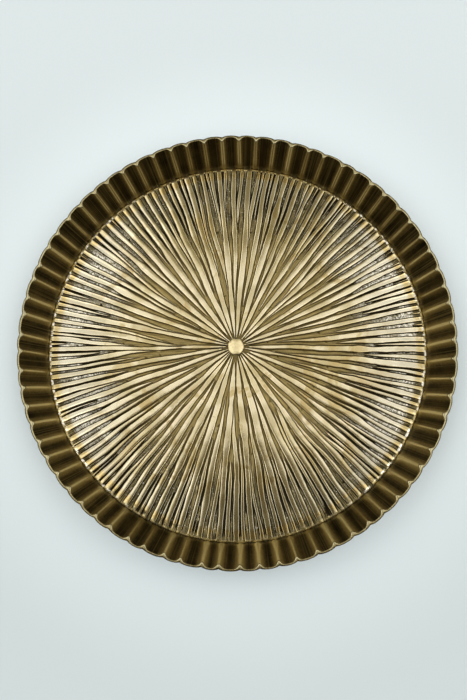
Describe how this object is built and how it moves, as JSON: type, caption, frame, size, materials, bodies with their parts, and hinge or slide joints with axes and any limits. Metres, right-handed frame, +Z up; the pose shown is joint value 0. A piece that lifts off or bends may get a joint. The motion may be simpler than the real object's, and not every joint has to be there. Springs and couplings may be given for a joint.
{
  "type": "serving tray",
  "caption": "Round serving tray with a low flared wall of vertical flutes and a flat floor of raised rays spreading from a small domed centre button.",
  "frame": {"origin": "centre of the tray, on the plane that its felt pads rest on", "axes": "+Z up, along the tray's centre line; +X and +Y in the resting plane, with the felt pads at 45, 135, 225 and 315 degrees from +X"},
  "size_m": [0.3598, 0.3599, 0.035],
  "materials": {
    "dark_brass_wall": "satin, dark bronze-brown patina worn to brass on the ridges and the lip",
    "rayed_brass_floor": "bright worn ray crests over dark patinated grooves",
    "polished_brass": "satin polished",
    "plain_brass": "dull, as cut",
    "solder": "dull grey soft solder",
    "felt": "dense wool felt"
  },
  "bodies": {
    "root": {"fluted_wall": "dark_brass_wall", "floor_disc": "rayed_brass_floor", "centre_button": "polished_brass", "rivet_washer": "plain_brass", "solder_seam": "solder", "felt_pad_1": "felt", "felt_pad_2": "felt", "felt_pad_3": "felt", "felt_pad_4": "felt"}
  },
  "joints": []
}
